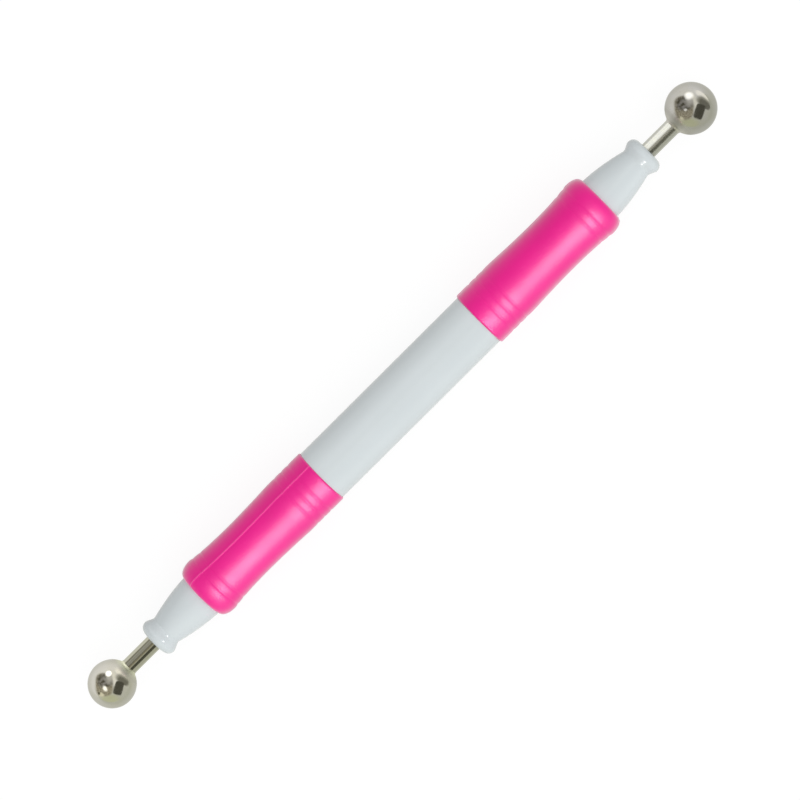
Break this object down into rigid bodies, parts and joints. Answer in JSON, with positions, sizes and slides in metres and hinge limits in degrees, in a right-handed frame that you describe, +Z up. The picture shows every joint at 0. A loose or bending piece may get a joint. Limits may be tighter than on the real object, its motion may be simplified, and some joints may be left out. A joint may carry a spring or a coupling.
{
  "type": "embossing stylus",
  "caption": "Double-ended ball stylus: straight white handle with flared nose cones, waisted soft pink grips and a polished steel ball on a thin rod at each end.",
  "frame": {"origin": "on the table under the middle of the tool's whole length, below the axis of the handle", "axes": "+X along the handle towards the large ball, +Y across the handle, +Z up from the table that the tool lies on"},
  "size_m": [0.1578, 0.012, 0.012],
  "materials": {
    "handle_plastic": "moulded cool white plastic, semi-gloss",
    "grip_rubber": "moulded hot pink soft rubber, satin",
    "shank_steel": "nickel-plated steel rod, drawn and polished",
    "ball_steel": "nickel-plated steel ball, mirror polished"
  },
  "bodies": {
    "root": {"barrel": "handle_plastic", "nose_small_end": "handle_plastic", "nose_large_end": "handle_plastic", "grip_small_end": "grip_rubber", "grip_large_end": "grip_rubber", "shank_small_end": "shank_steel", "shank_large_end": "shank_steel", "ball_small": "ball_steel", "ball_large": "ball_steel"}
  },
  "joints": []
}
